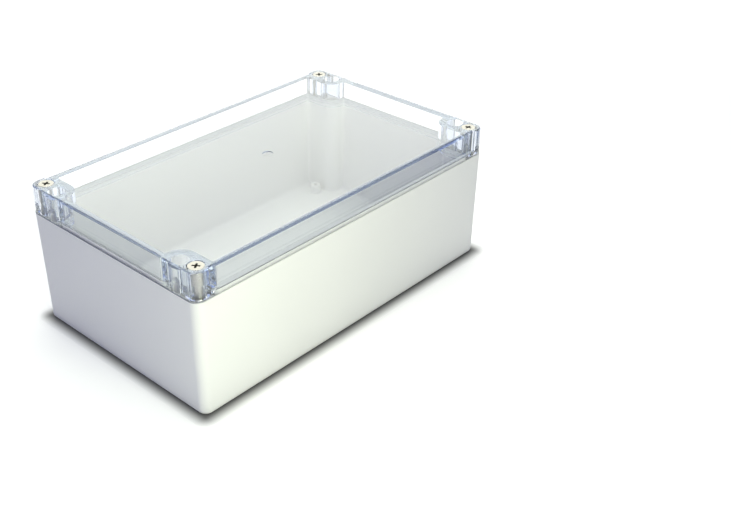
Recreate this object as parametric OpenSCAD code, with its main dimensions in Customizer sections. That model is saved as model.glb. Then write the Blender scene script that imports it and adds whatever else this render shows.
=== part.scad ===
// Wall-mounting enclosure: moulded base, clear screwed lid, moulded-in inserts and captive screws.
// Millimetres. +Z points up out of the lid, X runs along the length, Y across the width.
// The origin is the middle of the flat back face.

/* [Outer size] */
// Length over the walls, along X
body_l = 200; // [170:1:260]
// Width over the walls, along Y
body_w = 120; // [100:1:180]
// Height of the base up to the parting line
base_h = 60.3; // [45:0.1:110]
// Height of the lid above the parting line
lid_h = 14.7; // [13:0.1:24]
// Radius of the upright outer corners
corner_r = 8; // [7:0.5:9]

/* [Base shell] */
// Thickness of the upright walls
wall = 3; // [2.8:0.1:3.4]
// Thickness of the floor
floor_t = 3.5; // [2:0.5:5]
// How far the walls lean in between the rim and the back face
lean = 0.6; // [0.2:0.1:1]
// Radius round the edge of the back face
back_r = 2; // [1:0.5:3]
// Radius where the inside walls meet the floor
floor_r = 3; // [1:0.5:4]

/* [Wall mounting] */
// Distance from each end to the mounting holes
mount_in_x = 5.5; // [5.4:0.1:6]
// Distance from each long side to the mounting holes
mount_in_y = 15.5; // [15:0.5:18]
// Diameter of each mounting hole
mount_d = 4.5; // [3.5:0.1:5]
// Diameter of the well above each mounting hole
well_d = 7.8; // [7:0.1:8]
// Thickness left under the well for the screw head to clamp
mount_t = 4; // [3:0.5:8]
// Radius of the corner column round the well
column_r = 7; // [7:0.1:7.5]
// Radius where a column meets a wall
column_fillet = 2.5; // [2:0.1:4]

/* [Board pillars] */
// Distance from each end to the board pillars
board_in_x = 18; // [18:0.5:40]
// Distance from each long side to the board pillars
board_in_y = 14; // [9:0.5:40]
// Diameter of a board pillar
pillar_d = 6; // [5:0.5:8]
// Height of a board pillar above the floor
pillar_h = 5; // [3:0.5:12]
// Diameter of the screw hole in a board pillar
pillar_hole_d = 2.5; // [2:0.1:3]
// Depth of the screw hole in a board pillar
pillar_hole_t = 5; // [3:0.5:5.5]

/* [Lid shell] */
// Thickness of the lid's top plate
top_t = 2.5; // [2:0.1:3.5]
// How far the lid stands back from the base outline all round
lid_step = 0.3; // [0:0.1:0.5]
// How far the long sides stand back from the base outline, between the corners
side_recess = 1.8; // [1:0.1:2]
// How far the ends stand back from the base outline, between the corners
end_recess = 0.8; // [0.6:0.1:1.6]
// Height of the foot that runs round the lid at full size
foot_h = 3.3; // [3:0.1:4]
// Length of each corner block along a long side
block_x = 8.5; // [8:0.5:12]
// Length of each corner block along an end
block_y = 23; // [22:0.5:26]
// Radius round the upper edge of the lid
lid_edge_r = 0.8; // [0.4:0.1:1]
// How far the lid's walls lean in between the foot and the top
lid_lean = 0.2; // [0.1:0.1:0.3]
// Diameter of the shallow round mark left by the moulding gate
gate_d = 5.5; // [4:0.5:8]
// Depth of the gate mark
gate_t = 0.3; // [0.2:0.1:0.5]

/* [Seal] */
// Width of the tongue on the rim of the base
tongue_w = 1; // [0.8:0.1:1.2]
// Height of the tongue above the rim
tongue_h = 1; // [0.6:0.1:1.4]
// Distance from the cavity's edge out to the middle of the tongue
tongue_offset = 1.3; // [1.2:0.05:1.4]
// Gap each side of the tongue in its groove
groove_gap = 0.25; // [0.2:0.05:0.3]
// Thickness of the gasket as squeezed by the tongue
gasket_t = 1.2; // [0.6:0.1:1.4]
// Side gap of the gasket in the groove
gasket_gap = 0.05; // [0.02:0.01:0.1]
// Gap between the lid's skirt and the inside of the base
skirt_gap = 0.3; // [0.2:0.05:0.5]
// Thickness of the skirt
skirt_t = 1.2; // [1:0.1:1.6]
// Depth of the skirt below the parting line
skirt_h = 1.8; // [1:0.1:3]

/* [Lid screws] */
// Distance from the outline to each screw axis
screw_inset = 6.3; // [6.2:0.1:6.6]
// Diameter of the screw shank
shank_d = 4; // [3.5:0.1:4]
// Length of the screw under its head
shank_l = 25; // [24:0.5:26]
// Diameter of the screw head
head_d = 7.5; // [7:0.1:7.6]
// Height of the screw head
head_h = 2.6; // [2.2:0.1:3]
// How far the head sits below the top of the lid
head_sink = 0.4; // [0:0.1:0.6]
// Gap round the head in its well
head_gap = 0.3; // [0.2:0.05:0.35]
// Gap round the shank in the lid
shank_gap = 0.25; // [0.15:0.05:0.4]
// Width of each slot of the cross recess
cross_w = 0.9; // [0.7:0.1:1.1]
// Length of each slot of the cross recess
cross_l = 4.2; // [3.5:0.1:4.8]
// Depth of the cross recess
cross_t = 1.5; // [1:0.1:1.8]
// How far a screw rises when it is undone
screw_rise = 6; // [5.5:0.1:6.5]

/* [Retaining rings] */
// Thickness of the rubber ring that keeps a screw in the lid
ring_t = 1.3; // [1:0.1:1.4]
// Gap between the ring and the shank
ring_gap = 0.05; // [0.02:0.01:0.08]
// Gap round the ring, and over and under it at the ends of its travel
ring_clear = 0.3; // [0.2:0.05:0.35]

/* [Threaded inserts] */
// Outer diameter of a threaded insert
insert_d = 6; // [5.4:0.1:6.4]
// Length of a threaded insert below the tip of its tightened screw
insert_spare = 2.6; // [1:0.1:4]
// Gap between the insert and the column it is moulded into
insert_gap = 0.02; // [0.01:0.01:0.05]
// Gap round the shank in the insert
thread_gap = 0.05; // [0.02:0.01:0.08]
// Chamfer at the mouth of the insert and on the screw tip
lead_in = 0.5; // [0.3:0.1:0.8]

/* [Hidden] */
$fn = 64;

// Overshoot of a cutting tool past the face that it cuts
cut = 1;
// Half sizes of the outline
half_l = body_l / 2;
half_w = body_w / 2;
// Signs of X and Y at the four corners
CORNERS = [[-1, -1], [1, -1], [-1, 1], [1, 1]];

// How far the corner columns reach in from the outline
column_x = mount_in_x + column_r;
column_y = mount_in_y + column_r;

// Seal line, as distances inwards from the cavity's edge
tongue_out = -tongue_offset - tongue_w / 2;
tongue_in = -tongue_offset + tongue_w / 2;
groove_out = tongue_out - groove_gap;
groove_in = tongue_in + groove_gap;
groove_t = tongue_h + gasket_t;
skirt_in = skirt_gap + skirt_t;

// Heights of the lid
top_z = base_h + lid_h;
ceiling_z = top_z - top_t;

// Heights along a screw
seat_z = top_z - head_sink - head_h;
ring_well_t = screw_rise + ring_t + 2 * ring_clear;
ring_well_z = base_h - ring_well_t;
insert_z = seat_z - shank_l - insert_spare;
ring_d = shank_d + 2 * ring_gap + 2 * ring_t;

// A right-angled corner piece with a hollow radius, filling the corner at the origin
module fillet_2d(r) {
    difference() {
        square(r);
        translate([r, r]) circle(r);
    }
}

// Outline of one corner column at the corner of the first quadrant, grown by g
module column_2d(g) {
    x = half_l - column_x - g;
    y = half_w - column_y - g;
    r = column_r + g;
    translate([x + r, y]) square([column_x, column_y + g]);
    translate([x, y + r]) square([column_x + g, column_y]);
    translate([x + r, y + r]) circle(r);
}

// Inside of the box seen from above, drawn in by g, with the four columns left out
module cavity_2d(g) {
    x = half_l - wall - g;
    y = half_w - wall - g;
    f = column_fillet - g;
    difference() {
        square([2 * x, 2 * y], center = true);
        for (c = CORNERS) scale_sign(c) {
            column_2d(g);
            translate([x, half_w - column_y - g]) rotate(180) fillet_2d(f);
            translate([half_l - column_x - g, y]) rotate(180) fillet_2d(f);
        }
    }
}

// Mirrors its children into the corner with the signs c
module scale_sign(c) {
    mirror([c[0] < 0 ? 1 : 0, 0, 0]) mirror([0, c[1] < 0 ? 1 : 0, 0]) children();
}

// Half section of a leaning wall with a rounded foot: reach at the top, h high, leaning in to the bottom
module wall_section_2d(reach, h, in, r) {
    slope = atan(in / h);
    // Kept to a hundredth, so that the straight walls and the round corners share one seam
    foot = round((reach - in - r * (1 - sin(slope)) / cos(slope)) * 100) / 100;
    polygon([
        [0, 0], [foot, 0], [foot, r],
        [foot + r * cos(slope), r - r * sin(slope)],
        [reach, h], [0, h]
    ]);
    intersection() {
        translate([foot, r]) circle(r);
        square([reach, h]);
    }
}

// Block with rounded upright corners whose walls lean in to a rounded lower edge
module leaning_block(l, w, h, r, in, edge_r) {
    for (s = [0, 1]) {
        mirror([0, s, 0]) rotate([90, 0, 90])
            linear_extrude(l - 2 * r, center = true) wall_section_2d(w / 2, h, in, edge_r);
        mirror([s, 0, 0]) rotate([90, 0, 0])
            linear_extrude(w - 2 * r, center = true) wall_section_2d(l / 2, h, in, edge_r);
    }
    for (c = CORNERS) scale_sign(c)
        translate([l / 2 - r, w / 2 - r, 0])
            rotate_extrude(angle = 90) wall_section_2d(r, h, in, edge_r);
}

// Puts its children at these distances from the two sides of the corner c
module inset_by(c, in_x, in_y) {
    translate([c[0] * (half_l - in_x), c[1] * (half_w - in_y), 0]) children();
}

// Puts its children on the screw axis of the corner c
module at_screw(c) {
    inset_by(c, screw_inset, screw_inset) children();
}

// Upright cylinder from z0 to z1
module bar(d, z0, z1) {
    translate([0, 0, z0]) cylinder(d = d, h = z1 - z0);
}

// Everything inside the base above the floor, open at the rim
module cavity() {
    difference() {
        translate([0, 0, floor_t])
            leaning_block(body_l - 2 * wall, body_w - 2 * wall, base_h - floor_t + cut,
                corner_r - wall, lean, floor_r);
        for (c = CORNERS) scale_sign(c) linear_extrude(base_h + 2 * cut) {
            column_2d(0);
            translate([half_l - wall, half_w - column_y]) rotate(180) fillet_2d(column_fillet);
            translate([half_l - column_x, half_w - wall]) rotate(180) fillet_2d(column_fillet);
        }
    }
}

module base() {
    color([0.80, 0.81, 0.80]) difference() {
        union() {
            difference() {
                leaning_block(body_l, body_w, base_h, corner_r, lean, back_r);
                cavity();
            }
            translate([0, 0, base_h - cut]) linear_extrude(tongue_h + cut) difference() {
                cavity_2d(tongue_out);
                cavity_2d(tongue_in);
            }
            for (c = CORNERS) inset_by(c, board_in_x, board_in_y)
                bar(pillar_d, floor_t - cut, floor_t + pillar_h);
        }
        for (c = CORNERS) {
            inset_by(c, board_in_x, board_in_y)
                bar(pillar_hole_d, floor_t + pillar_h - pillar_hole_t, floor_t + pillar_h + cut);
            inset_by(c, mount_in_x, mount_in_y) {
                bar(mount_d, -cut, mount_t + cut);
                bar(well_d, mount_t, base_h + cut);
            }
            at_screw(c) {
                bar(ring_d + 2 * ring_clear, ring_well_z, base_h + cut);
                bar(insert_d + 2 * insert_gap, insert_z, ring_well_z + cut);
            }
        }
    }
}

// Section of the cut that sets a lid wall back: everything outwards of the wall, and over its rounded upper edge
module step_back_2d() {
    square([corner_r, lid_h + cut]);
    translate([-lid_edge_r, lid_h - foot_h - lid_edge_r]) difference() {
        square([lid_edge_r + cut, lid_edge_r + cut]);
        circle(lid_edge_r);
    }
}

// Outside of the lid: foot all round, walls set back above it, and corner blocks out to the foot
module lid_outside() {
    difference() {
        translate([0, 0, top_z]) mirror([0, 0, 1])
            leaning_block(body_l - 2 * lid_step, body_w - 2 * lid_step, lid_h,
                corner_r - lid_step, lid_lean, lid_edge_r);
        for (s = [0, 1]) {
            mirror([0, s, 0]) translate([0, half_w - side_recess, base_h + foot_h]) rotate([90, 0, 90])
                linear_extrude(body_l - 2 * block_x, center = true) step_back_2d();
            mirror([s, 0, 0]) translate([half_l - end_recess, 0, base_h + foot_h]) rotate([90, 0, 0])
                linear_extrude(body_w - 2 * block_y, center = true) step_back_2d();
        }
    }
}

module lid() {
    color([0.85, 0.90, 0.95, 0.35]) difference() {
        union() {
            lid_outside();
            translate([0, 0, base_h - skirt_h]) linear_extrude(skirt_h + cut) cavity_2d(skirt_gap);
        }
        translate([0, 0, base_h - skirt_h - cut])
            linear_extrude(ceiling_z - base_h + skirt_h + cut) cavity_2d(skirt_in);
        translate([0, 0, base_h - cut]) linear_extrude(groove_t + cut) difference() {
            cavity_2d(groove_out);
            cavity_2d(groove_in);
        }
        for (c = CORNERS) {
            inset_by(c, mount_in_x, mount_in_y)
                bar(well_d + 2 * head_gap, base_h - cut, ceiling_z);
            at_screw(c) {
                bar(shank_d + 2 * shank_gap, base_h - cut, seat_z + cut);
                bar(head_d + 2 * head_gap, seat_z, top_z + cut);
            }
        }
        bar(gate_d, top_z - gate_t, top_z + cut);
    }
}

module gasket() {
    color([0.72, 0.73, 0.72]) translate([0, 0, base_h + tongue_h]) linear_extrude(gasket_t)
        difference() {
            cavity_2d(groove_out + gasket_gap);
            cavity_2d(groove_in - gasket_gap);
        }
}

module insert(c) {
    color([0.78, 0.62, 0.30]) at_screw(c) difference() {
        bar(insert_d, insert_z, ring_well_z);
        bar(shank_d + 2 * thread_gap, insert_z - cut, ring_well_z + cut);
        translate([0, 0, ring_well_z - lead_in])
            cylinder(d1 = shank_d + 2 * thread_gap, d2 = shank_d + 2 * (thread_gap + lead_in), h = lead_in);
    }
}

module lid_screw(c) {
    crown = head_h / 3;
    color([0.72, 0.72, 0.73]) at_screw(c) difference() {
        union() {
            bar(head_d, seat_z, seat_z + head_h - crown);
            translate([0, 0, seat_z + head_h - crown])
                cylinder(d1 = head_d, d2 = head_d - 2 * crown, h = crown);
            bar(shank_d, seat_z - shank_l + lead_in, seat_z + cut);
            translate([0, 0, seat_z - shank_l])
                cylinder(d1 = shank_d - 2 * lead_in, d2 = shank_d, h = lead_in);
        }
        for (a = [0, 90]) rotate(a)
            translate([-cross_l / 2, -cross_w / 2, seat_z + head_h - cross_t])
                cube([cross_l, cross_w, cross_t + cut]);
    }
}

module retaining_ring(c) {
    color([0.15, 0.15, 0.16]) at_screw(c)
        translate([0, 0, ring_well_z + ring_clear + ring_t / 2])
            rotate_extrude() translate([(ring_d - ring_t) / 2, 0]) circle(d = ring_t);
}

base();
lid();
gasket();
insert([-1, -1]);  // insert_front_left
insert([1, -1]);  // insert_front_right
insert([-1, 1]);  // insert_back_left
insert([1, 1]);  // insert_back_right
lid_screw([-1, -1]);  // lid_screw_front_left
lid_screw([1, -1]);  // lid_screw_front_right
lid_screw([-1, 1]);  // lid_screw_back_left
lid_screw([1, 1]);  // lid_screw_back_right
retaining_ring([-1, -1]);  // retaining_ring_front_left
retaining_ring([1, -1]);  // retaining_ring_front_right
retaining_ring([-1, 1]);  // retaining_ring_back_left
retaining_ring([1, 1]);  // retaining_ring_back_right
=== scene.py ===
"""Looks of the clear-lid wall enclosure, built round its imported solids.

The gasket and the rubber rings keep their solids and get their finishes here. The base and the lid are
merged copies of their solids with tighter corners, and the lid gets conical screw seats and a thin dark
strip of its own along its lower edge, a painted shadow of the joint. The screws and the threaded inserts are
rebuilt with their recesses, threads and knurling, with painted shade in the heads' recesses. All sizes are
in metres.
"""

import logging
import math
from collections.abc import Callable
from dataclasses import dataclass, field
from enum import Enum

import bmesh
import bpy
from mathutils import Matrix, Vector


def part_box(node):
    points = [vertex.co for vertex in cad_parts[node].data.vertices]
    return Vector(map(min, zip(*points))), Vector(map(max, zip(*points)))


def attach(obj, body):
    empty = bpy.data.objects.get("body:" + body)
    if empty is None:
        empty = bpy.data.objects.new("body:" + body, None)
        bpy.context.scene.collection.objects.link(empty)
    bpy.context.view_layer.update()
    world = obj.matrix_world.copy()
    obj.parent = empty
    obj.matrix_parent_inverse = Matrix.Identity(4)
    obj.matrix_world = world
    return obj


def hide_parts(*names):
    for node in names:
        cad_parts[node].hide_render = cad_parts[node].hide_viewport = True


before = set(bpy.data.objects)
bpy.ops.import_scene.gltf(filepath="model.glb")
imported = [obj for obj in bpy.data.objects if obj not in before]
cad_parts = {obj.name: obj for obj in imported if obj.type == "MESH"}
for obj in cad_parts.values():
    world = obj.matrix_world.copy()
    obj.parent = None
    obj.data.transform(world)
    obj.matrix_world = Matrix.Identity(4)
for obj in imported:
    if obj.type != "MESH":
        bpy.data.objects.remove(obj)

log = logging.getLogger("enclosure")
MM = 0.001
# Points closer than this are one point.
WELD = 0.0001 * MM
# How far a point may lie off a face or a plane and still count as on it.
SLACK = 0.001 * MM
# The range that soft noise fills, and the share of each finer octave.
NOISE_RANGE = (0.3, 0.7)
NOISE_ROUGHNESS = 0.55
WHITE = (1.0, 1.0, 1.0, 1.0)
Colour = tuple[float, float, float]
Span = tuple[float, float]
Socket = bpy.types.NodeSocket


class Corner(Enum):
    """The four corners, as the signs of X and Y."""

    FRONT_LEFT = (-1, -1)
    FRONT_RIGHT = (1, -1)
    BACK_LEFT = (-1, 1)
    BACK_RIGHT = (1, 1)

    @property
    def label(self) -> str:
        """The corner's name as the solids' names end with it."""
        return self.name.lower()


class Ray(Enum):
    """The kinds of light path, as the outputs of the Light Path node."""

    CAMERA = "Is Camera Ray"
    REFRACTED = "Is Transmission Ray"
    SHADOW = "Is Shadow Ray"
    DIFFUSE = "Is Diffuse Ray"


class NodeSheet:
    """Adds and wires the nodes of one tree, so that a finish reads as its layers."""

    def __init__(self, tree: bpy.types.NodeTree) -> None:
        """Keeps the tree that the nodes go to.

        Args:
            tree: the shader or geometry tree to fill.
        """
        self.tree = tree

    def add(self, kind: str, values: dict | None = None, **settings: object) -> bpy.types.Node:
        """Adds one node.

        Args:
            kind: the node's type name.
            values: unlinked input values, by input name or number.
            settings: the node's own properties.

        Returns:
            The new node.
        """
        node = self.tree.nodes.new(kind)
        for name, value in settings.items():
            setattr(node, name, value)
        for key, value in (values or {}).items():
            node.inputs[key].default_value = value
        return node

    def wire(self, source: Socket, target: Socket) -> None:
        """Joins an output to an input."""
        self.tree.links.new(source, target)

    def feed(self, value: Socket | float | tuple[float, ...], target: Socket) -> None:
        """Joins an output to an input, or sets the input's value.

        Args:
            value: the output or the value.
            target: the input.
        """
        if isinstance(value, Socket):
            self.wire(value, target)
        else:
            target.default_value = value

    def maths(self, operation: str, *terms: Socket | float) -> Socket:
        """Works out one step of arithmetic.

        Args:
            operation: the Math node's operation.
            terms: outputs or numbers.

        Returns:
            The result's output.
        """
        node = self.add("ShaderNodeMath", operation=operation)
        for term, target in zip(terms, node.inputs):
            self.feed(term, target)
        return node.outputs[0]

    def ramp(self, value: Socket, source: Span, result: Span = (0.0, 1.0), **settings: object) -> Socket:
        """Maps a value from one range to another and stops at its ends.

        Args:
            value: the value's output.
            source: the range that it comes from.
            result: the range that it goes to.
            settings: the Map Range node's own properties.

        Returns:
            The result's output.
        """
        ends = dict(zip(("From Min", "From Max", "To Min", "To Max"), (*source, *result)))
        node = self.add("ShaderNodeMapRange", ends, **settings)
        self.wire(value, node.inputs["Value"])
        return node.outputs["Result"]

    def blend_shaders(self, factor: Socket, first: Socket, second: Socket) -> Socket:
        """Mixes two shaders.

        Args:
            factor: 0 for the first shader, 1 for the second.
            first: a shader's output.
            second: another shader's output.

        Returns:
            The mixed shader's output.
        """
        mix = self.add("ShaderNodeMixShader")
        for source, target in zip((factor, first, second), mix.inputs):
            self.wire(source, target)
        return mix.outputs[0]

    def axes(self) -> dict[str, Socket]:
        """Gives the object coordinates by axis.

        Returns:
            The outputs of X, Y and Z.
        """
        place = self.add("ShaderNodeTexCoord")
        split = self.add("ShaderNodeSeparateXYZ")
        self.wire(place.outputs["Object"], split.inputs[0])
        return {axis: split.outputs[axis] for axis in "XYZ"}


def shader_sheet(name: str) -> tuple[bpy.types.Material, NodeSheet, bpy.types.Node]:
    """Starts an empty material.

    Args:
        name: the material's name.

    Returns:
        The material, its sheet and its output node.
    """
    material = bpy.data.materials.new(name)
    material.use_nodes = True
    material.node_tree.nodes.clear()
    sheet = NodeSheet(material.node_tree)
    return material, sheet, sheet.add("ShaderNodeOutputMaterial")


def noise(sheet: NodeSheet, scale: float, detail: float = 2.0) -> Socket:
    """Adds soft noise on object coordinates.

    Args:
        sheet: the sheet to add it to.
        scale: cells per metre.
        detail: octaves of finer noise.

    Returns:
        The noise value's output.
    """
    place = sheet.add("ShaderNodeTexCoord")
    cells = sheet.add("ShaderNodeTexNoise", {"Scale": scale, "Detail": detail, "Roughness": NOISE_ROUGHNESS})
    sheet.wire(place.outputs["Object"], cells.inputs["Vector"])
    return cells.outputs["Fac"]


def spread(sheet: NodeSheet, value: Socket, low: float = 0.0, high: float = 1.0) -> Socket:
    """Stretches the middle of a noise value over a range.

    Args:
        sheet: the sheet to add it to.
        value: the noise value.
        low: result at the bottom of the noise.
        high: result at its top.

    Returns:
        The stretched value's output.
    """
    return sheet.ramp(value, NOISE_RANGE, (low, high))


def blend_colours(sheet: NodeSheet, factor: Socket, first: Socket | Colour, second: Colour) -> Socket:
    """Mixes two colours.

    Args:
        sheet: the sheet to add it to.
        factor: 0 for the first colour, 1 for the second.
        first: linear colour, or an output that carries one.
        second: linear colour.

    Returns:
        The mixed colour's output.
    """
    mix = sheet.add("ShaderNodeMix", data_type="RGBA")
    ends = [socket for socket in mix.inputs if socket.type == "RGBA"]
    for colour, end in zip((first, second), ends):
        sheet.feed(colour if isinstance(colour, Socket) else (*colour, 1), end)
    sheet.wire(factor, mix.inputs["Factor"])
    return next(socket for socket in mix.outputs if socket.type == "RGBA")


def relief(sheet: NodeSheet, height: Socket, strength: float, depth: float) -> Socket:
    """Turns a height into bumps.

    Args:
        sheet: the sheet to add it to.
        height: the height value.
        strength: how strongly the bumps tilt the surface.
        depth: the height of a full step.

    Returns:
        The bent normal's output.
    """
    bump = sheet.add("ShaderNodeBump", {"Strength": strength, "Distance": depth})
    sheet.wire(height, bump.inputs["Height"])
    return bump.outputs["Normal"]


def either_ray(sheet: NodeSheet, first: Ray, second: Ray) -> Socket:
    """Adds a switch for two kinds of ray.

    Args:
        sheet: the sheet to add it to.
        first: one kind.
        second: the other kind.

    Returns:
        An output of 1 for rays of either kind, and 0 for the rest.
    """
    path = sheet.add("ShaderNodeLightPath")
    return sheet.maths("MAXIMUM", path.outputs[first.value], path.outputs[second.value])


def level_reach(sheet: NodeSheet, half: Span, outside_only: bool = False) -> Socket:
    """Measures how far a point lies, seen from above, from the nearest corner of a centred rectangle.

    Args:
        sheet: the sheet to add it to.
        half: the rectangle's half sizes along X and Y.
        outside_only: measures from the whole rectangle instead, and is nothing inside it.

    Returns:
        The distance's output.
    """
    axes = sheet.axes()
    offset = sheet.add("ShaderNodeCombineXYZ")
    for axis, size, target in zip("XY", half, offset.inputs):
        beyond = sheet.maths("SUBTRACT", sheet.maths("ABSOLUTE", axes[axis]), size)
        if outside_only:
            beyond = sheet.maths("MAXIMUM", beyond, 0.0)
        sheet.wire(beyond, target)
    reach = sheet.add("ShaderNodeVectorMath", operation="LENGTH")
    sheet.wire(offset.outputs[0], reach.inputs[0])
    return reach.outputs["Value"]


@dataclass(frozen=True)
class MouldedPlastic:
    """Opaque moulded plastic with a fine spark-eroded grain."""

    name: str = "grey_moulding"
    colour: Colour = (0.80, 0.805, 0.795)
    cloud: Colour = (0.77, 0.775, 0.765)
    cloud_scale: float = 9.0
    ior: float = 1.58
    roughness: Span = (0.36, 0.5)
    grain: float = 1500.0
    grain_detail: float = 3.0
    grain_strength: float = 0.12
    grain_depth: float = 0.05 * MM

    def build(self) -> bpy.types.Material:
        """Makes the material.

        Returns:
            The new material.
        """
        material, sheet, out = shader_sheet(self.name)
        body = sheet.add("ShaderNodeBsdfPrincipled", {"IOR": self.ior})
        clouds = spread(sheet, noise(sheet, self.cloud_scale))
        sheet.wire(blend_colours(sheet, clouds, self.colour, self.cloud), body.inputs["Base Color"])
        fine = noise(sheet, self.grain, self.grain_detail)
        sheet.wire(spread(sheet, fine, *self.roughness), body.inputs["Roughness"])
        sheet.wire(relief(sheet, fine, self.grain_strength, self.grain_depth), body.inputs["Normal"])
        sheet.wire(body.outputs[0], out.inputs["Surface"])
        return material


@dataclass(frozen=True)
class ClearPlastic:
    """Polished clear plastic that lets the lamps through and darkens over a long path."""

    name: str = "clear_moulding"
    pass_colour: Colour = (0.98, 0.983, 0.987)
    trapped_colour: Colour = (0.73, 0.77, 0.87)
    depth_colour: Colour = (0.15, 0.42, 0.92)
    depth_density: float = 14.0
    ior: float = 1.58
    haze: Span = (0.01, 0.035)
    haze_scale: float = 60.0
    ripple: float = 0.02
    ripple_scale: float = 35.0
    ripple_depth: float = 0.2 * MM
    longest_path: float = 4.5

    def build(self) -> bpy.types.Material:
        """Makes the material.

        Returns:
            The new material.
        """
        material, sheet, out = shader_sheet(self.name)
        body = sheet.add(
            "ShaderNodeBsdfPrincipled",
            {"Base Color": WHITE, "IOR": self.ior, "Transmission Weight": 1.0},
        )
        sheet.wire(spread(sheet, noise(sheet, self.haze_scale), *self.haze), body.inputs["Roughness"])
        swell = noise(sheet, self.ripple_scale)
        sheet.wire(relief(sheet, swell, self.ripple, self.ripple_depth), body.inputs["Normal"])
        open_air = sheet.add("ShaderNodeBsdfTransparent", {"Color": (*self.pass_colour, 1)})
        way_out = sheet.add("ShaderNodeBsdfTransparent", {"Color": (*self.trapped_colour, 1)})
        path = sheet.add("ShaderNodeLightPath")
        trapped = sheet.maths("GREATER_THAN", path.outputs["Ray Depth"], self.longest_path)
        seen = sheet.blend_shaders(trapped, body.outputs[0], way_out.outputs[0])
        lamp = either_ray(sheet, Ray.SHADOW, Ray.DIFFUSE)
        sheet.wire(sheet.blend_shaders(lamp, seen, open_air.outputs[0]), out.inputs["Surface"])
        depth = sheet.add(
            "ShaderNodeVolumeAbsorption",
            {"Color": (*self.depth_colour, 1), "Density": self.depth_density},
        )
        sheet.wire(depth.outputs[0], out.inputs["Volume"])
        return material


@dataclass(frozen=True)
class Metal:
    """Bare metal with fine turning marks, and painted shade in the recess where it has one."""

    name: str
    colour: Colour
    shade: Colour
    roughness: Span
    marks: float = 2600.0
    marks_detail: float = 3.0
    marks_strength: float = 0.08
    marks_depth: float = 0.02 * MM
    # Colour of the painted shade in the heads' cross recesses, standing in for the shade that falls there.
    soot: Colour = (0.03, 0.028, 0.026)
    soot_heights: Span | None = None
    soot_axis: Span = (93.7 * MM, 53.7 * MM)
    soot_radii: Span = (2.15 * MM, 2.4 * MM)
    soot_edge: float = 0.1 * MM

    def build(self) -> bpy.types.Material:
        """Makes the material.

        Returns:
            The new material.
        """
        material, sheet, out = shader_sheet(self.name)
        body = sheet.add("ShaderNodeBsdfPrincipled", {"Metallic": 1.0})
        marks = noise(sheet, self.marks, self.marks_detail)
        colour = blend_colours(sheet, spread(sheet, marks), self.colour, self.shade)
        if self.soot_heights:
            colour = self.sooted(sheet, colour)
        sheet.wire(colour, body.inputs["Base Color"])
        sheet.wire(spread(sheet, marks, *self.roughness), body.inputs["Roughness"])
        sheet.wire(relief(sheet, marks, self.marks_strength, self.marks_depth), body.inputs["Normal"])
        sheet.wire(body.outputs[0], out.inputs["Surface"])
        return material

    def sooted(self, sheet: NodeSheet, colour: Socket) -> Socket:
        """Paints shade on the metal close to each screw's axis between two heights, in the heads' cross
        recesses.

        Args:
            sheet: the sheet to add it to.
            colour: the clean metal's colour.

        Returns:
            The output with the painted recess shade in it.
        """
        height = sheet.axes()["Z"]
        low, high = self.soot_heights
        above = sheet.ramp(height, (low, low + self.soot_edge))
        below = sheet.ramp(height, (high, high - self.soot_edge))
        core = sheet.ramp(level_reach(sheet, self.soot_axis), self.soot_radii, (1.0, 0.0))
        share = sheet.maths("MULTIPLY", sheet.maths("MULTIPLY", above, below), core)
        return blend_colours(sheet, share, colour, self.soot)


@dataclass(frozen=True)
class Rubber:
    """Soft matt rubber with a dusty grain, and, where asked, paler long sides as painted light."""

    name: str
    colour: Colour
    bloom: Colour
    roughness: Span = (0.62, 0.78)
    # Colour of the painted light on the two long sides, and the distance from the middle where it fades in.
    worn: Colour | None = None
    worn_from: Span = (55.0 * MM, 59.5 * MM)
    dust: float = 1900.0
    dust_detail: float = 3.0
    dust_strength: float = 0.15
    dust_depth: float = 0.04 * MM
    sheen: float = 0.15
    sheen_roughness: float = 0.5
    ior: float = 1.5

    def rubbed(self, sheet: NodeSheet, colour: Socket) -> Socket:
        """Paints light on the rubber along the two long sides.

        Args:
            sheet: the sheet to add it to.
            colour: the fresh rubber's colour.

        Returns:
            The output with the worn sides in it.
        """
        side = sheet.maths("ABSOLUTE", sheet.axes()["Y"])
        return blend_colours(sheet, sheet.ramp(side, self.worn_from), colour, self.worn)

    def build(self) -> bpy.types.Material:
        """Makes the material.

        Returns:
            The new material.
        """
        material, sheet, out = shader_sheet(self.name)
        body = sheet.add(
            "ShaderNodeBsdfPrincipled",
            {"IOR": self.ior, "Sheen Weight": self.sheen, "Sheen Roughness": self.sheen_roughness},
        )
        dust = noise(sheet, self.dust, self.dust_detail)
        colour = blend_colours(sheet, spread(sheet, dust), self.colour, self.bloom)
        if self.worn:
            colour = self.rubbed(sheet, colour)
        sheet.wire(colour, body.inputs["Base Color"])
        sheet.wire(spread(sheet, dust, *self.roughness), body.inputs["Roughness"])
        sheet.wire(relief(sheet, dust, self.dust_strength, self.dust_depth), body.inputs["Normal"])
        sheet.wire(body.outputs[0], out.inputs["Surface"])
        return material


def dress(node: str, material: bpy.types.Material) -> None:
    """Gives a solid of the frame its finish.

    Args:
        node: the solid's name.
        material: its finish.
    """
    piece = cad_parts[node]
    piece.data.materials.clear()
    piece.data.materials.append(material)
    log.info("dressed %s in %s", node, material.name)


def placed(name: str, data: bpy.types.ID) -> bpy.types.Object:
    """Puts new data into the scene.

    Args:
        name: the object's name.
        data: its mesh, lamp or camera.

    Returns:
        The object, at the origin.
    """
    piece = bpy.data.objects.new(name, data)
    bpy.context.scene.collection.objects.link(piece)
    return piece


def mesh_object(name: str, shape: bmesh.types.BMesh) -> bpy.types.Object:
    """Turns a shape into an object in the scene.

    Args:
        name: the object's name.
        shape: its mesh, freed here.

    Returns:
        The object, at the origin.
    """
    bmesh.ops.recalc_face_normals(shape, faces=shape.faces)
    mesh = bpy.data.meshes.new(name)
    shape.to_mesh(mesh)
    shape.free()
    return placed(name, mesh)


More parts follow.
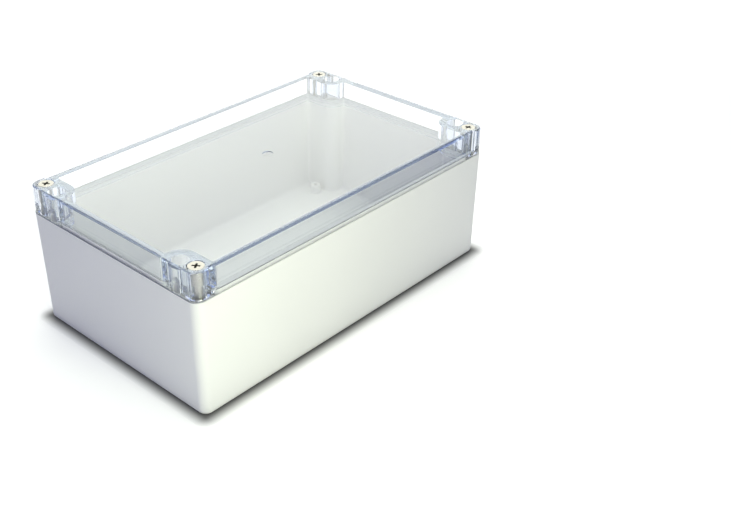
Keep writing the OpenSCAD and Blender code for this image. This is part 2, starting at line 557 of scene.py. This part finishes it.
def turned(profile: list[Span], steps: int) -> bmesh.types.BMesh:
    """Turns a profile about Z into a closed shape.

    Args:
        profile: radius and height pairs, from axis to axis or back to where it starts.
        steps: faces round the axis.

    Returns:
        The turned shape.
    """
    shape = bmesh.new()
    turn = [2 * math.pi * i / steps for i in range(steps)]
    rings = []
    for radius, height in profile:
        angles = turn if radius > 0 else turn[:1]
        ring = [(radius * math.cos(a), radius * math.sin(a), height) for a in angles]
        rings.append([shape.verts.new(point) for point in ring])
    for low, high in zip(rings, rings[1:]):
        for i in range(steps):
            j = (i + 1) % steps
            corners = [low[i % len(low)], low[j % len(low)], high[j % len(high)], high[i % len(high)]]
            shape.faces.new(list(dict.fromkeys(corners)))
    bmesh.ops.remove_doubles(shape, verts=shape.verts, dist=WELD)
    return shape


def made_plain(piece: bpy.types.Object, name: str) -> bpy.types.Object:
    """Turns an object's modifiers into a plain mesh of its own and removes the first object.

    Args:
        piece: the object with its modifiers.
        name: the new object's name.

    Returns:
        The plain object, at the origin.
    """
    graph = bpy.context.evaluated_depsgraph_get()
    mesh = bpy.data.meshes.new_from_object(piece.evaluated_get(graph), depsgraph=graph)
    mesh.name = name
    plain = placed(name, mesh)
    bpy.data.objects.remove(piece)
    return plain


def finish_piece(
    piece: bpy.types.Object, material: bpy.types.Material, body: str, slot: str, *nodes: str
) -> None:
    """Gives a piece its finish and its place in the frame.

    Args:
        piece: the piece.
        material: its finish.
        body: the body that it rides on.
        slot: the record's material slot; not used.
        nodes: the solids that it stands for.
    """
    piece.data.materials.clear()
    piece.data.materials.append(material)
    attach(piece, body)
    if nodes:
        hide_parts(*nodes)
    log.info("built %s, %d faces, in %s", piece.name, len(piece.data.polygons), material.name)


def merged_copy(node: str, name: str, place: Callable[[Vector], Vector]) -> bpy.types.Object:
    """Copies a solid of the frame, merged and with its points put in place, and keeps its shading.

    Args:
        node: the solid's name.
        name: the new piece's name.
        place: gives a point's new place.

    Returns:
        The new piece, at the origin.
    """
    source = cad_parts[node].data
    facing = [corner.vector.copy() for corner in source.corner_normals]
    first = [polygon.loop_start for polygon in source.polygons]
    shape = bmesh.new()
    shape.from_mesh(source)
    origin = shape.faces.layers.int.new("origin")
    for face in shape.faces:
        face[origin] = face.index
    bmesh.ops.remove_doubles(shape, verts=shape.verts, dist=WELD)
    for vertex in shape.verts:
        vertex.co = place(vertex.co)
    mesh = bpy.data.meshes.new(name)
    shape.to_mesh(mesh)
    shape.free()
    kept = [facing[first[tag.value] + i] for tag in mesh.attributes["origin"].data for i in range(3)]
    mesh.normals_split_custom_set(kept)
    return placed(name, mesh)


def shade_by_angle(piece: bpy.types.Object, degrees: float = 35.0) -> None:
    """Smooths a piece except at its edges.

    Args:
        piece: the piece.
        degrees: an edge sharper than this stays sharp.
    """
    piece.data.shade_smooth()
    piece.data.set_sharp_from_angle(angle=math.radians(degrees))


class TreeMaker:
    """Builds one Geometry Nodes tree with named inputs and runs it on an empty mesh."""

    def __init__(self, name: str) -> None:
        """Starts the tree.

        Args:
            name: the tree's name.
        """
        self.tree = bpy.data.node_groups.new(name, "GeometryNodeTree")
        self.sheet = NodeSheet(self.tree)
        self.tree.interface.new_socket("Geometry", in_out="INPUT", socket_type="NodeSocketGeometry")
        self.tree.interface.new_socket("Geometry", in_out="OUTPUT", socket_type="NodeSocketGeometry")
        self.way_in = self.sheet.add("NodeGroupInput")
        self.way_out = self.sheet.add("NodeGroupOutput")
        self.names: dict[str, str] = {}

    def ask(self, name: str, kind: str) -> Socket:
        """Adds a named input.

        Args:
            name: the input's name.
            kind: its socket type, such as Float.

        Returns:
            The socket that carries it.
        """
        item = self.tree.interface.new_socket(name, in_out="INPUT", socket_type=f"NodeSocket{kind}")
        self.names[name] = item.identifier
        return self.way_in.outputs[name]

    def moved(self, geometry: Socket, offset: Socket) -> Socket:
        """Moves geometry.

        Args:
            geometry: what is moved.
            offset: how far, as a vector.

        Returns:
            The moved geometry's output.
        """
        put = self.sheet.add("GeometryNodeTransform")
        self.sheet.wire(geometry, put.inputs["Geometry"])
        self.sheet.wire(offset, put.inputs["Translation"])
        return put.outputs[0]

    def close(self, geometry: Socket, finish: Socket) -> None:
        """Ends the tree in real geometry with its finish.

        Args:
            geometry: what was built.
            finish: the input that carries the material.
        """
        real = self.sheet.add("GeometryNodeRealizeInstances")
        paint = self.sheet.add("GeometryNodeSetMaterial")
        self.sheet.wire(geometry, real.inputs[0])
        self.sheet.wire(real.outputs[0], paint.inputs["Geometry"])
        self.sheet.wire(finish, paint.inputs["Material"])
        self.sheet.wire(paint.outputs[0], self.way_out.inputs[0])

    def run(self, name: str, values: dict[str, object]) -> bpy.types.Object:
        """Runs the tree with these values.

        Args:
            name: the new piece's name.
            values: a value for each named input.

        Returns:
            The result as a plain mesh object.
        """
        host = placed(name + "_host", bpy.data.meshes.new(name + "_host"))
        modifier = host.modifiers.new("build", "NODES")
        modifier.node_group = self.tree
        for key, value in values.items():
            modifier[self.names[key]] = value
        host.update_tag()
        bpy.context.view_layer.update()
        return made_plain(host, name)


@dataclass(frozen=True)
class CornerTrim:
    """Gives a moulding's upright outer corners a smaller radius and leaves its straight walls."""

    half_length: float = 100.0 * MM
    half_width: float = 60.0 * MM
    wide: float = 8.0 * MM
    tight: float = 5.0 * MM
    foot_height: float = 3.0 * MM
    foot_reach: float = 5.0 * MM
    wall_reach: float = 6.58 * MM

    def place(self, point: Vector) -> Vector:
        """Moves a point that is on the skin of a corner.

        Args:
            point: its place.

        Returns:
            Its new place, or the same one off the corners' skin.
        """
        x = abs(point.x) - (self.half_length - self.wide)
        y = abs(point.y) - (self.half_width - self.wide)
        reach = math.hypot(x, y)
        nearest = self.foot_reach if point.z < self.foot_height else self.wall_reach
        if min(x, y) < -SLACK or reach < nearest:
            return point
        share = (reach - self.wide + self.tight) / reach
        x = self.half_length - self.tight + x * share
        y = self.half_width - self.tight + y * share
        return Vector((math.copysign(x, point.x), math.copysign(y, point.y), point.z))


@dataclass
class Base:
    """The grey moulded base with its four threaded inserts."""

    finish: MouldedPlastic = field(default_factory=MouldedPlastic)
    trim: CornerTrim = field(default_factory=CornerTrim)
    insert_finish: Metal = field(
        default_factory=lambda: Metal("turned_brass", (0.78, 0.58, 0.27), (0.66, 0.46, 0.2), (0.22, 0.38))
    )
    insert_radius: float = 3.0 * MM
    bore_radius: float = 2.05 * MM
    mouth_chamfer: float = 0.5 * MM
    ridge_height: float = 0.16 * MM
    ridge_count: int = 28
    ridge_fill: float = 0.8
    ridge_root: float = 0.1 * MM
    ridge_lead: float = 0.2 * MM
    groove_half: float = 0.8 * MM
    barrel_steps: int = 48

    def insert_tree(self) -> TreeMaker:
        """Makes the tree that sets knurled ridges round an insert's barrel at each of its places.

        Returns:
            The tree, with inputs Barrel, Ridge, Ridges, Radius, Spread X, Spread Y and Finish.
        """
        maker = TreeMaker("knurled_inserts")
        sheet = maker.sheet
        barrel = sheet.add("GeometryNodeObjectInfo")
        ridge = sheet.add("GeometryNodeObjectInfo")
        sheet.wire(maker.ask("Barrel", "Object"), barrel.inputs["Object"])
        sheet.wire(maker.ask("Ridge", "Object"), ridge.inputs["Object"])
        ring = sheet.add("GeometryNodeMeshCircle")
        sheet.wire(maker.ask("Ridges", "Int"), ring.inputs["Vertices"])
        sheet.wire(maker.ask("Radius", "Float"), ring.inputs["Radius"])
        number = sheet.add("GeometryNodeInputIndex")
        turn = sheet.maths("DIVIDE", number.outputs[0], maker.way_in.outputs["Ridges"])
        angles = sheet.add("ShaderNodeCombineXYZ")
        sheet.wire(sheet.maths("MULTIPLY", turn, 2 * math.pi), angles.inputs["Z"])
        knurl = sheet.add("GeometryNodeInstanceOnPoints")
        sheet.wire(ring.outputs[0], knurl.inputs["Points"])
        sheet.wire(ridge.outputs["Geometry"], knurl.inputs["Instance"])
        sheet.wire(angles.outputs[0], knurl.inputs["Rotation"])
        whole = sheet.add("GeometryNodeJoinGeometry")
        sheet.wire(knurl.outputs[0], whole.inputs[0])
        sheet.wire(barrel.outputs["Geometry"], whole.inputs[0])
        places = sheet.add("GeometryNodeMeshGrid", {"Vertices X": 2, "Vertices Y": 2})
        sheet.wire(maker.ask("Spread X", "Float"), places.inputs["Size X"])
        sheet.wire(maker.ask("Spread Y", "Float"), places.inputs["Size Y"])
        copies = sheet.add("GeometryNodeInstanceOnPoints")
        sheet.wire(places.outputs[0], copies.inputs["Points"])
        sheet.wire(whole.outputs[0], copies.inputs["Instance"])
        maker.close(copies.outputs[0], maker.ask("Finish", "Material"))
        return maker

    def build_inserts(self, brass: bpy.types.Material) -> bpy.types.Object:
        """Builds the four knurled inserts as one piece of the base.

        Args:
            brass: their finish.

        Returns:
            The piece, in place.
        """
        low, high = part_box("insert_front_left")
        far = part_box("insert_back_right")[0]
        core = self.insert_radius - self.ridge_height
        bore, edge, middle = self.bore_radius, self.mouth_chamfer, (low.z + high.z) / 2
        waist = core - self.ridge_height
        groove = (middle - self.groove_half, middle + self.groove_half)
        profile = [
            (bore, low.z),
            (core, low.z),
            (core, groove[0]),
            (waist, groove[0]),
            (waist, groove[1]),
            (core, groove[1]),
            (core, high.z),
            (bore + edge, high.z),
            (bore, high.z - edge),
            (bore, low.z),
        ]
        barrel = mesh_object("insert_barrel", turned(profile, self.barrel_steps))
        ridge = bmesh.new()
        half = math.pi * core / self.ridge_count * self.ridge_fill
        for start, end in ((low.z, groove[0]), (groove[1], high.z)):
            a, b, c, d = (
                ridge.verts.new((-self.ridge_root, side * half, z)) for z in (start, end) for side in (-1, 1)
            )
            e, f = (
                ridge.verts.new((self.ridge_height, 0, z))
                for z in (start + self.ridge_lead, end - self.ridge_lead)
            )
            for face in ((a, b, d, c), (a, c, f, e), (b, e, f, d), (a, e, b), (c, d, f)):
                ridge.faces.new(face)
        ridge_piece = mesh_object("insert_ridge", ridge)
        piece = self.insert_tree().run(
            "threaded_inserts",
            {
                "Barrel": barrel,
                "Ridge": ridge_piece,
                "Ridges": self.ridge_count,
                "Radius": core,
                "Spread X": far.x - low.x,
                "Spread Y": far.y - low.y,
                "Finish": brass,
            },
        )
        for helper in (barrel, ridge_piece):
            bpy.data.objects.remove(helper)
        shade_by_angle(piece)
        return piece

    def build(self) -> None:
        """Makes the shell and puts the inserts into its columns."""
        shell = merged_copy("base", "base_shell", self.trim.place)
        finish_piece(shell, self.finish.build(), "base", "base_plastic", "base")
        brass = self.insert_finish.build()
        inserts = self.build_inserts(brass)
        nodes = [f"insert_{corner.label}" for corner in Corner]
        finish_piece(inserts, brass, "base", "brass", *nodes)


@dataclass
class Lid:
    """The clear lid with the gasket in its groove."""

    finish: ClearPlastic = field(default_factory=ClearPlastic)
    seal_finish: Rubber = field(
        default_factory=lambda: Rubber("seal_foam", (0.74, 0.75, 0.74), (0.66, 0.67, 0.66))
    )
    # The joint strip's dark colour is painted shadow in the joint between lid and base.
    lip_finish: Rubber = field(
        default_factory=lambda: Rubber(
            # Paler on the two long sides: painted light, where the lamps light the joint.
            "joint_lip", (0.13, 0.14, 0.19), (0.1, 0.11, 0.15), (0.42, 0.58), worn=(0.62, 0.62, 0.6)
        )
    )
    trim: CornerTrim = field(default_factory=CornerTrim)
    screw_inset: float = 6.3 * MM
    seat_radii: Span = (2.25 * MM, 4.05 * MM)
    seat_height: float = 72.0 * MM
    seat_height_slack: float = 0.01 * MM
    seat_radius_slack: float = 0.02 * MM
    cone_heights: Span = (72.9 * MM, 74.7 * MM)
    lip_heights: Span = (60.31 * MM, 60.61 * MM)
    lip_depth: float = 0.35 * MM
    lip_proud: float = 0.03 * MM
    lip_steps: int = 12

    def place(self, point: Vector) -> Vector:
        """Tightens the corners and cuts the screw seats to a cone.

        Args:
            point: a point of the lid.

        Returns:
            Its new place.
        """
        if abs(point.z - self.seat_height) < self.seat_height_slack:
            x = abs(point.x) - self.trim.half_length + self.screw_inset
            y = abs(point.y) - self.trim.half_width + self.screw_inset
            for radius, height in zip(self.seat_radii, self.cone_heights):
                if abs(math.hypot(x, y) - radius) < self.seat_radius_slack:
                    return Vector((point.x, point.y, height))
        return self.trim.place(point)

    def outline(self, inset: float) -> list[Span]:
        """Lists the points of the lid's outline, drawn in by a distance.

        Args:
            inset: the distance.

        Returns:
            The points, anticlockwise.
        """
        trim, reach = self.trim, self.trim.tight - inset
        points = []
        for turn, (x, y) in enumerate(((1, 1), (-1, 1), (-1, -1), (1, -1))):
            centre_x, centre_y = x * (trim.half_length - trim.tight), y * (trim.half_width - trim.tight)
            for step in range(self.lip_steps + 1):
                angle = math.pi / 2 * (turn + step / self.lip_steps)
                points.append((centre_x + reach * math.cos(angle), centre_y + reach * math.sin(angle)))
        return points

    def joint_lip(self) -> bpy.types.Object:
        """Makes the thin dark strip along the lid's lower edge, a painted shadow of the joint between lid
        and base.

        Returns:
            The strip, in place.
        """
        shape = bmesh.new()
        low, high = self.lip_heights
        outer, inner = self.outline(-self.lip_proud), self.outline(self.lip_depth)
        loops = [
            [shape.verts.new((x, y, height)) for x, y in edge]
            for edge, height in ((outer, low), (outer, high), (inner, high), (inner, low))
        ]
        for near, far in zip(loops, loops[1:] + loops[:1]):
            for i in range(len(near)):
                j = (i + 1) % len(near)
                shape.faces.new((near[i], near[j], far[j], far[i]))
        return mesh_object("joint_lip", shape)

    def build(self) -> None:
        """Makes the clear shell and its dark strip of painted joint shadow, and dresses its gasket."""
        shell = merged_copy("lid", "lid_shell", self.place)
        finish_piece(shell, self.finish.build(), "lid", "clear_plastic", "lid")
        finish_piece(self.joint_lip(), self.lip_finish.build(), "lid", "seal_rubber")
        dress("gasket", self.seal_finish.build())


@dataclass
class LidScrews:
    """The four captive screws and the rubber rings that hold them in the lid."""

    finish: Metal = field(
        default_factory=lambda: Metal(
            "turned_stainless",
            (0.41, 0.395, 0.38),
            (0.33, 0.315, 0.305),
            (0.24, 0.4),
            # Painted shade in the heads' cross recesses, between these heights.
            soot_heights=(72.6 * MM, 74.82 * MM),
        )
    )
    ring_finish: Rubber = field(
        default_factory=lambda: Rubber(
            "ring_rubber", (0.016, 0.016, 0.018), (0.04, 0.04, 0.042), (0.47, 0.63)
        )
    )
    head_radius: float = 3.75 * MM
    head_edge: float = 0.4 * MM
    edge_bevel: float = 0.1 * MM
    head_rise: float = 0.25 * MM
    shank_radius: float = 2.0 * MM
    neck_radius: float = 1.35 * MM
    neck_heights: Span = (54.6 * MM, 66.6 * MM)
    thread_depth: float = 0.42 * MM
    thread_pitch: float = 0.7 * MM
    thread_length: float = 8.0 * MM
    recess_width: float = 1.1 * MM
    recess_reach: float = 2.15 * MM
    recess_depth: float = 1.6 * MM
    recess_overshoot: float = 0.5 * MM
    foot_reach_share: float = 0.35
    foot_width_share: float = 0.7
    mouth_reach_share: float = 1.06
    neck_overlap: float = 0.2 * MM
    head_overlap: float = 0.3 * MM
    head_steps: int = 64
    bar_steps: int = 32
    coil_steps: int = 24
    thread_sides: int = 4
    blade_angle_deg: float = 90.0
    turns_deg: tuple[float, float, float, float] = (36.0, 0.0, 30.0, 45.0)

    @property
    def head_height(self) -> float:
        """Height of the straight edge and the right-angled cone under it."""
        return self.head_edge + self.head_radius - self.shank_radius

    def cross(self, top: float, turn_deg: float) -> bmesh.types.BMesh:
        """Makes the two crossed tapering blades that cut a recess.

        Args:
            top: height of the head's top.
            turn_deg: how far the cross is turned.

        Returns:
            The two blades.
        """
        half, reach = self.recess_width / 2, self.recess_reach
        foot = (top - self.recess_depth, reach * self.foot_reach_share, half * self.foot_width_share)
        mouth = (top + self.recess_overshoot, reach * self.mouth_reach_share, half)
        shape = bmesh.new()
        # Both turns act on the first blade and only the last one on the second.
        for turn in (self.blade_angle_deg, turn_deg):
            low, high = (
                [shape.verts.new((sx * x, sy * y, z)) for sx, sy in ((-1, -1), (1, -1), (1, 1), (-1, 1))]
                for z, x, y in (foot, mouth)
            )
            shape.faces.new(low)
            shape.faces.new(high)
            for i in range(4):
                j = (i + 1) % 4
                shape.faces.new((low[i], low[j], high[j], high[i]))
            spin = Matrix.Rotation(math.radians(turn), 3, "Z")
            bmesh.ops.rotate(shape, verts=shape.verts, cent=(0, 0, 0), matrix=spin)
        return shape

    def head(self, top: float, turn_deg: float) -> bpy.types.Object:
        """Builds one countersunk screw head with its tapered cross recess.

        Args:
            top: height of the head's top.
            turn_deg: how far the recess is turned.

        Returns:
            The head, on the Z axis.
        """
        under = top - self.head_height
        profile = [
            (0, under),
            (self.shank_radius, under),
            (self.head_radius, top - self.head_edge),
            (self.head_radius, top - self.edge_bevel),
            (self.head_radius - self.edge_bevel, top),
            (0, top),
        ]
        head = mesh_object("screw_head", turned(profile, self.head_steps))
        tool = mesh_object("recess_cutter", self.cross(top, turn_deg))
        cut = head.modifiers.new("recess", "BOOLEAN")
        cut.operation = "DIFFERENCE"
        cut.solver = "EXACT"
        cut.use_self = True
        cut.object = tool
        bpy.context.view_layer.update()
        plain = made_plain(head, "screw_head_cut")
        bpy.data.objects.remove(tool)
        return plain

    def screw_tree(self) -> TreeMaker:
        """Makes the tree that winds a thread round a screw's core and adds its plain shank and head.

        Returns:
            The tree, with inputs for the head, the place, the shank, the thread and the finish.
        """
        maker = TreeMaker("lid_screw")
        sheet = maker.sheet
        head = sheet.add("GeometryNodeObjectInfo")
        sheet.wire(maker.ask("Head", "Object"), head.inputs["Object"])
        place = maker.ask("Place", "Vector")
        radius = maker.ask("Thread Core Radius", "Float")
        length = maker.ask("Thread Length", "Float")
        depth = maker.ask("Thread Depth", "Float")
        turns = maker.ask("Thread Turns", "Float")
        tip = maker.ask("Tip", "Vector")
        bars = [(radius, length, maker.ask("Core Middle", "Vector"))]
        for part in ("Shank", "Neck", "Collar"):
            sizes = [maker.ask(f"{part} {size}", "Float") for size in ("Radius", "Length")]
            bars.append((*sizes, maker.ask(f"{part} Middle", "Vector")))
        finish = maker.ask("Finish", "Material")
        whole = sheet.add("GeometryNodeJoinGeometry")
        for bar_radius, bar_length, middle in bars:
            bar = sheet.add("GeometryNodeMeshCylinder", {"Vertices": self.bar_steps})
            sheet.wire(bar_radius, bar.inputs["Radius"])
            sheet.wire(bar_length, bar.inputs["Depth"])
            sheet.wire(maker.moved(bar.outputs["Mesh"], middle), whole.inputs[0])
        helix = sheet.add("GeometryNodeCurveSpiral", {"Resolution": self.coil_steps})
        sheet.wire(turns, helix.inputs["Rotations"])
        sheet.wire(radius, helix.inputs["Start Radius"])
        sheet.wire(radius, helix.inputs["End Radius"])
        sheet.wire(length, helix.inputs["Height"])
        level = sheet.add("GeometryNodeSetCurveNormal")
        sheet.wire(helix.outputs[0], level.inputs[0])
        ridge = sheet.add("GeometryNodeCurvePrimitiveCircle", {"Resolution": self.thread_sides})
        sheet.wire(depth, ridge.inputs["Radius"])
        wind = sheet.add("GeometryNodeCurveToMesh", {"Fill Caps": True})
        sheet.wire(level.outputs[0], wind.inputs["Curve"])
        sheet.wire(ridge.outputs[0], wind.inputs["Profile Curve"])
        sheet.wire(maker.moved(wind.outputs[0], tip), whole.inputs[0])
        sheet.wire(head.outputs["Geometry"], whole.inputs[0])
        maker.close(maker.moved(whole.outputs[0], place), finish)
        return maker

    def build(self) -> None:
        """Builds the screws on their axes and dresses the rings."""
        maker = self.screw_tree()
        steel, rubber = self.finish.build(), self.ring_finish.build()
        core, wound = self.shank_radius - self.thread_depth, self.thread_length - self.thread_depth
        for corner, turn in zip(Corner, self.turns_deg):
            node = f"lid_screw_{corner.label}"
            low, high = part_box(node)
            top = high.z + self.head_rise
            plain_end = low.z + self.thread_length
            neck_low, neck_high = self.neck_heights
            bars = {
                "Shank": (self.shank_radius, neck_high, top - self.head_height + self.head_overlap),
                "Neck": (self.neck_radius, neck_low - self.neck_overlap, neck_high + self.neck_overlap),
                "Collar": (self.shank_radius, plain_end, neck_low),
            }
            sizes = {}
            for part, (radius, start, end) in bars.items():
                sizes[f"{part} Radius"] = radius
                sizes[f"{part} Length"] = end - start
                sizes[f"{part} Middle"] = Vector((0, 0, (start + end) / 2))
            head = self.head(top, turn)
            screw = maker.run(
                f"screw_{corner.label}",
                {
                    "Head": head,
                    "Place": Vector(((low.x + high.x) / 2, (low.y + high.y) / 2, 0)),
                    "Thread Core Radius": core,
                    "Thread Length": wound,
                    "Thread Depth": self.thread_depth,
                    "Thread Turns": wound / self.thread_pitch,
                    "Tip": Vector((0, 0, low.z + self.thread_depth)),
                    "Core Middle": Vector((0, 0, (low.z + plain_end) / 2)),
                    "Finish": steel,
                    **sizes,
                },
            )
            bpy.data.objects.remove(head)
            shade_by_angle(screw)
            finish_piece(screw, steel, f"screw_{corner.label}", "stainless", node)
            dress(f"retaining_ring_{corner.label}", rubber)


@dataclass(frozen=True)
class Lamp:
    """One soft studio lamp."""

    name: str
    place: tuple[float, float, float]
    aim: tuple[float, float, float]
    size: Span
    watts: float
    colour: Colour
    seen_through: bool = True

    def build(self) -> None:
        """Hangs the lamp and points it."""
        lamp = bpy.data.lights.new(self.name, "AREA")
        lamp.shape = "RECTANGLE"
        lamp.size, lamp.size_y = self.size
        lamp.energy = self.watts
        lamp.color = self.colour
        holder = placed(self.name, lamp)
        holder.location = self.place
        ahead = Vector(self.aim) - Vector(self.place)
        holder.rotation_euler = ahead.to_track_quat("-Z", "Y").to_euler()
        holder.visible_camera = False
        holder.visible_transmission = self.seen_through
        log.info("lamp %s, %.1f W", self.name, self.watts)


@dataclass
class Studio:
    """Pale floor, soft lamps and the camera."""

    floor_half: float = 4.0
    floor_cells: int = 8
    floor_height: float = -0.2 * MM
    floor_colour: Colour = (0.93, 0.93, 0.93)
    floor_shade: Colour = (0.91, 0.91, 0.915)
    floor_grain: float = 3.0
    floor_gloss: float = 0.2
    floor_roughness: float = 0.8
    floor_glow: float = 0.2
    foot_half: Span = (98.2 * MM, 58.2 * MM)
    shade_reach: float = 9.0 * MM
    shade_share: float = 0.12
    far_floor: Span = (0.3, 0.9)
    camera_place: tuple[float, float, float] = (-0.32905, -0.34810, 0.30717)
    yaw_deg: float = 46.96
    pitch_deg: float = 31.78
    lens: float = 52.29
    sensor: float = 36.0
    shift: Span = (0.0521, 0.0034)
    clip: Span = (0.01, 50.0)
    sky: float = 0.098
    sky_colour: Colour = (0.6, 0.52, 2.8)
    backdrop: float = 1.0
    backdrop_colour: Colour = (1.0, 1.0, 1.0)
    mirror_room: float = 1.0
    mirror_colour: Colour = (0.95, 0.97, 1.0)
    lamps: tuple[Lamp, ...] = (
        Lamp("overhead_softbox", (0.1, 0.1, 1.3), (0.0, 0.0, 0.0), (1.6, 1.6), 15.8, (1.05, 1.1, 0.82)),
        Lamp(
            "front_lamp", (-0.12, -0.32, 0.15), (-0.07, -0.06, 0.03), (0.2, 0.15), 0.38, (1.04, 1.09, 0.66)
        ),
        Lamp(
            "corner_lamp", (-0.2, -0.24, 0.08), (-0.07, -0.06, 0.03), (0.12, 0.1), 0.13, (1.0, 1.06, 0.94)
        ),
        Lamp(
            "back_softbox", (1.5, 1.4, 1.25), (0.0, 0.0, 0.05), (2.2, 1.6), 18.0, (1.0, 1.01, 0.8), False
        ),
    )

    def floor(self) -> None:
        """Lays the pale floor, with a painted contact shadow close to the box's foot, and even far from it.
        """
        shape = bmesh.new()
        bmesh.ops.create_grid(
            shape, x_segments=self.floor_cells, y_segments=self.floor_cells, size=self.floor_half
        )
        bmesh.ops.translate(shape, verts=shape.verts, vec=(0, 0, self.floor_height))
        floor = mesh_object("floor", shape)
        material, sheet, out = shader_sheet("white_paper")
        body = sheet.add(
            "ShaderNodeBsdfPrincipled",
            {
                "Specular IOR Level": self.floor_gloss,
                "Roughness": self.floor_roughness,
                "Emission Color": WHITE,
            },
        )
        # Painted contact shadow: the paper and its glow darken towards the box's foot.
        away = level_reach(sheet, self.foot_half, outside_only=True)
        light = sheet.ramp(
            away, (0.0, self.shade_reach), (self.shade_share, 1.0), interpolation_type="SMOOTHSTEP"
        )
        grain = spread(sheet, noise(sheet, self.floor_grain))
        paper = sheet.add("ShaderNodeVectorMath", operation="SCALE")
        sheet.wire(blend_colours(sheet, grain, self.floor_colour, self.floor_shade), paper.inputs[0])
        sheet.wire(light, paper.inputs["Scale"])
        sheet.wire(paper.outputs[0], body.inputs["Base Color"])
        glow = sheet.ramp(away, self.far_floor, (self.floor_glow, self.backdrop))
        shown = sheet.maths("MULTIPLY", either_ray(sheet, Ray.CAMERA, Ray.REFRACTED), glow)
        sheet.wire(sheet.maths("MULTIPLY", shown, light), body.inputs["Emission Strength"])
        sheet.wire(body.outputs[0], out.inputs["Surface"])
        floor.data.materials.append(material)

    def surroundings(self) -> None:
        """Sets the even light of the room, with a white wall for rays that show it."""
        world = bpy.data.worlds.new("room")
        bpy.context.scene.world = world
        world.use_nodes = True
        world.node_tree.nodes.clear()
        sheet = NodeSheet(world.node_tree)
        tones = (
            (self.sky_colour, self.sky),
            (self.mirror_colour, self.mirror_room),
            (self.backdrop_colour, self.backdrop),
        )
        glow, room, wall = (
            sheet.add("ShaderNodeBackground", {"Color": (*colour, 1), "Strength": strength}).outputs[0]
            for colour, strength in tones
        )
        rays = sheet.add("ShaderNodeLightPath")
        around = sheet.blend_shaders(rays.outputs["Is Glossy Ray"], glow, room)
        seen = either_ray(sheet, Ray.CAMERA, Ray.REFRACTED)
        out = sheet.add("ShaderNodeOutputWorld")
        sheet.wire(sheet.blend_shaders(seen, around, wall), out.inputs["Surface"])

    def camera(self) -> None:
        """Sets the camera at the viewing angle."""
        lens = bpy.data.cameras.new("camera")
        lens.lens = self.lens
        lens.sensor_width = self.sensor
        lens.shift_x, lens.shift_y = self.shift
        lens.clip_start, lens.clip_end = self.clip
        yaw, pitch = math.radians(self.yaw_deg), math.radians(self.pitch_deg)
        level = math.cos(pitch)
        ahead = Vector((math.sin(yaw) * level, math.cos(yaw) * level, -math.sin(pitch)))
        holder = placed("camera", lens)
        holder.location = self.camera_place
        holder.rotation_euler = ahead.to_track_quat("-Z", "Y").to_euler()
        bpy.context.scene.camera = holder

    def build(self) -> None:
        """Sets the whole stage."""
        self.floor()
        self.surroundings()
        for lamp in self.lamps:
            lamp.build()
        self.camera()
        view = bpy.context.scene.view_settings
        view.view_transform = "Standard"
        view.look = "None"


def main() -> None:
    """Builds every sub-assembly and the studio."""
    logging.basicConfig(level=logging.INFO, format="%(name)s: %(message)s")
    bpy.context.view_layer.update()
    for assembly in (Base(), Lid(), LidScrews()):
        assembly.build()
        log.info("%s done", type(assembly).__name__)
    Studio().build()
    bpy.context.view_layer.update()


if __name__ == "__main__":
    main()
